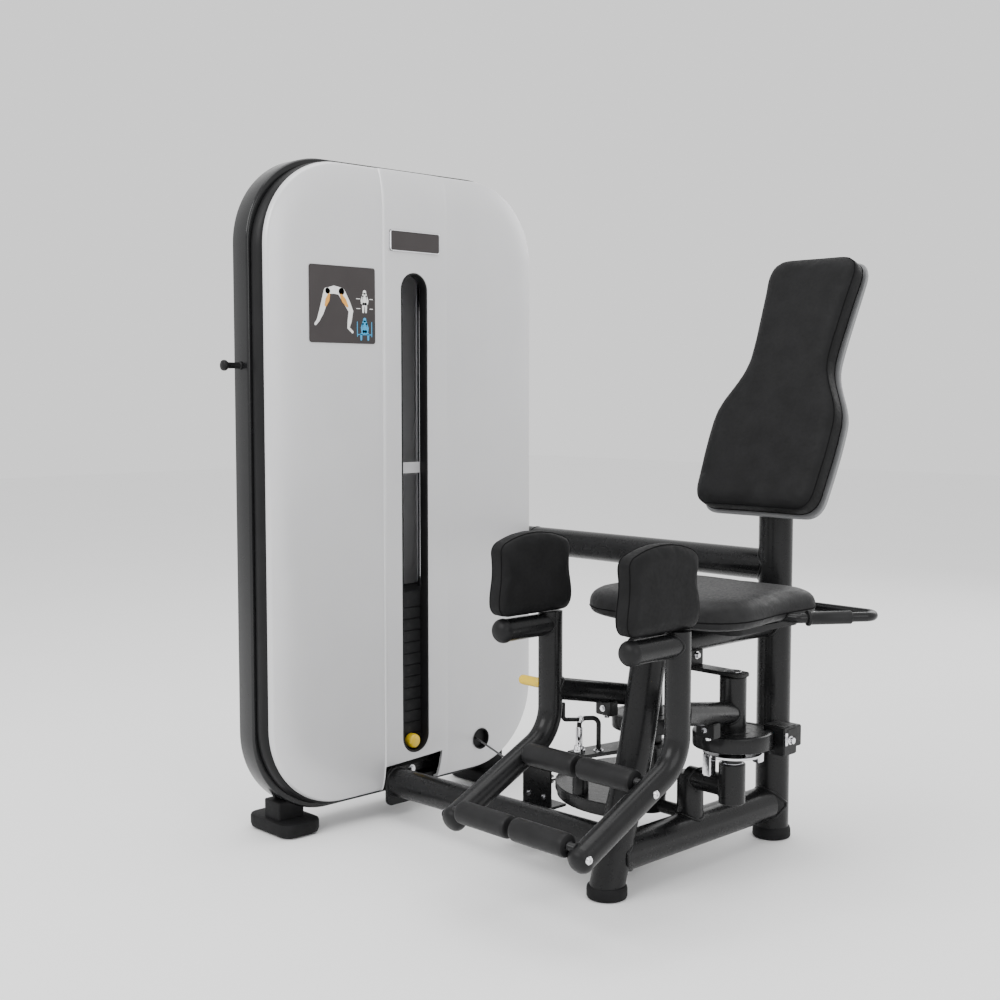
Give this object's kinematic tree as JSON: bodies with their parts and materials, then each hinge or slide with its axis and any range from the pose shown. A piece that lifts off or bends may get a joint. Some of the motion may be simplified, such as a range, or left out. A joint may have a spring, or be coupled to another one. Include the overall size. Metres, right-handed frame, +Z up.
{
  "type": "hip abductor machine",
  "caption": "Seated hip abductor machine: selectorised weight tower with shrouds, leaning back pad, seat, side handles and swinging thigh arms driven by a cable.",
  "frame": {"origin": "on the floor under the front leg, in the seat's middle plane", "axes": "+Z up; the user faces -Y; +X is the user's left; the weight tower stands on the -X side"},
  "size_m": [1.1805, 1.1176, 1.524],
  "materials": {
    "black_paint": "satin-gloss black powder coat",
    "hoop_paint": "gloss black paint on the tower hoop",
    "silver_paint": "fine satin silver-grey paint",
    "black_plastic": "moulded black plastic",
    "black_rubber": "moulded black rubber",
    "grip_rubber": "smooth dark grey rubber sleeve",
    "grey_plastic": "dark warm grey plastic",
    "shell_plastic": "mid-grey moulded backing shell",
    "black_leather": "fine-grained black upholstery",
    "yellow_plastic": "bright yellow moulded knob",
    "steel": "turned bright steel",
    "cable_jacket": "plastic-jacketed steel cable",
    "cast_iron": "black painted iron plates",
    "chrome": "polished chrome"
  },
  "bodies": {
    "frame": {"back_cushion": "black_leather", "back_shell": "shell_plastic", "badge_plate": "grey_plastic", "base_beam": "black_paint", "bearing_plate": "black_paint", "exercise_placard": "grey_plastic", "front_foot": "black_rubber", "front_leg": "black_paint", "front_shroud": "silver_paint", "grip_left": "grip_rubber", "grip_right": "grip_rubber", "guide_rod_front": "chrome", "guide_rod_rear": "chrome", "handle_left": "black_paint", "handle_right": "black_paint", "lift_cable": "cable_jacket", "lock_ring": "chrome", "low_beam": "black_paint", "pivot_shaft_left": "chrome", "pivot_shaft_right": "chrome", "pulley_guard": "black_paint", "rear_foot": "black_rubber", "rear_post": "black_paint", "rear_shroud": "silver_paint", "seat_board": "black_plastic", "seat_cushion": "black_leather", "seat_rail": "black_paint", "short_post": "black_paint", "slot_guide": "grey_plastic", "slot_liner": "black_plastic", "stack_bumper": "black_rubber", "top_bracket": "black_paint", "towel_peg": "black_plastic", "tower_floor_beam": "black_paint", "tower_foot_front": "black_rubber", "tower_foot_rear": "black_rubber", "tower_hoop": "hoop_paint", "trim_ring_front": "black_plastic", "trim_ring_rear": "black_plastic", "upper_beam": "black_paint"},
    "stack": {"weight_stack": "cast_iron", "selector_stem": "steel"},
    "pin": {"selector_pin": "yellow_plastic"},
    "arm_left": {"arm_frame_left": "black_paint", "thigh_pad_left": "black_leather", "cam_disc_left": "black_paint"},
    "arm_right": {"arm_frame_right": "black_paint", "thigh_pad_right": "black_leather", "cam_disc_right": "black_paint", "cable_cam": "black_paint", "range_latch": "black_paint"},
    "start_pin": {"start_pin": "yellow_plastic"},
    "top_pulley_front": {"top_pulley_front": "grey_plastic"},
    "top_pulley_rear": {"top_pulley_rear": "grey_plastic"},
    "low_pulley": {"low_pulley": "grey_plastic"},
    "guide_pulley": {"guide_pulley": "grey_plastic"},
    "foot_grip_upper_left": {"foot_grip_upper_left": "grip_rubber"},
    "foot_grip_upper_right": {"foot_grip_upper_right": "grip_rubber"},
    "foot_grip_lower_left": {"foot_grip_lower_left": "grip_rubber"},
    "foot_grip_lower_right": {"foot_grip_lower_right": "grip_rubber"}
  },
  "joints": [
    {"name": "stack_lift", "type": "slide", "parent": "frame", "child": "stack", "axis": [0, 0, 1], "range_m": [0, 0.17]},
    {"name": "arm_left_swing", "type": "hinge", "parent": "frame", "child": "arm_left", "pos_m": [0.11, 0.262, 0.35], "axis": [0, 0, 1], "range_deg": [0, 50]},
    {"name": "arm_right_swing", "type": "hinge", "parent": "frame", "child": "arm_right", "pos_m": [-0.11, 0.262, 0.35], "axis": [0, 0, -1], "range_deg": [0, 50]},
    {"name": "top_pulley_front_turn", "type": "hinge", "parent": "frame", "child": "top_pulley_front", "pos_m": [-0.7875, 0.1535, 1.415], "axis": [-1, 0, 0], "range_deg": [0, 179]},
    {"name": "top_pulley_rear_turn", "type": "hinge", "parent": "frame", "child": "top_pulley_rear", "pos_m": [-0.7875, 0.283, 1.415], "axis": [-1, 0, 0], "range_deg": [0, 179]},
    {"name": "low_pulley_turn", "type": "hinge", "parent": "frame", "child": "low_pulley", "pos_m": [-0.75436, 0.32394, 0.176], "axis": [-0.3906, -0.9206, 0], "range_deg": [0, 272]},
    {"name": "guide_pulley_turn", "type": "hinge", "parent": "frame", "child": "guide_pulley", "pos_m": [-0.3316, 0.165, 0.14], "axis": [0, 0, 1], "range_deg": [0, 520]},
    {"name": "selector_pin_pull", "type": "slide", "parent": "stack", "child": "pin", "axis": [1, 0, 0], "range_m": [0, 0.085]},
    {"name": "start_pin_pull", "type": "slide", "parent": "arm_right", "child": "start_pin", "axis": [-1, 0, 0], "range_m": [0, 0.012]},
    {"name": "foot_grip_upper_left_spin", "type": "hinge", "parent": "arm_left", "child": "foot_grip_upper_left", "pos_m": [0.08, -0.078, 0.278], "axis": [1, 0, 0], "continuous": true},
    {"name": "foot_grip_upper_right_spin", "type": "hinge", "parent": "arm_right", "child": "foot_grip_upper_right", "pos_m": [-0.08, -0.078, 0.278], "axis": [1, 0, 0], "continuous": true},
    {"name": "foot_grip_lower_left_spin", "type": "hinge", "parent": "arm_left", "child": "foot_grip_lower_left", "pos_m": [0.08, -0.259, 0.197], "axis": [1, 0, 0], "continuous": true},
    {"name": "foot_grip_lower_right_spin", "type": "hinge", "parent": "arm_right", "child": "foot_grip_lower_right", "pos_m": [-0.08, -0.259, 0.197], "axis": [1, 0, 0], "continuous": true}
  ],
  "couplings": [
    {"joint": "arm_left_swing", "follows": "stack_lift", "rad_per_m": 4.931},
    {"joint": "arm_right_swing", "follows": "stack_lift", "rad_per_m": 4.931},
    {"joint": "top_pulley_front_turn", "follows": "stack_lift", "rad_per_m": 18.182},
    {"joint": "top_pulley_rear_turn", "follows": "stack_lift", "rad_per_m": 18.182},
    {"joint": "low_pulley_turn", "follows": "stack_lift", "rad_per_m": 27.778},
    {"joint": "guide_pulley_turn", "follows": "stack_lift", "rad_per_m": 53.191}
  ]
}
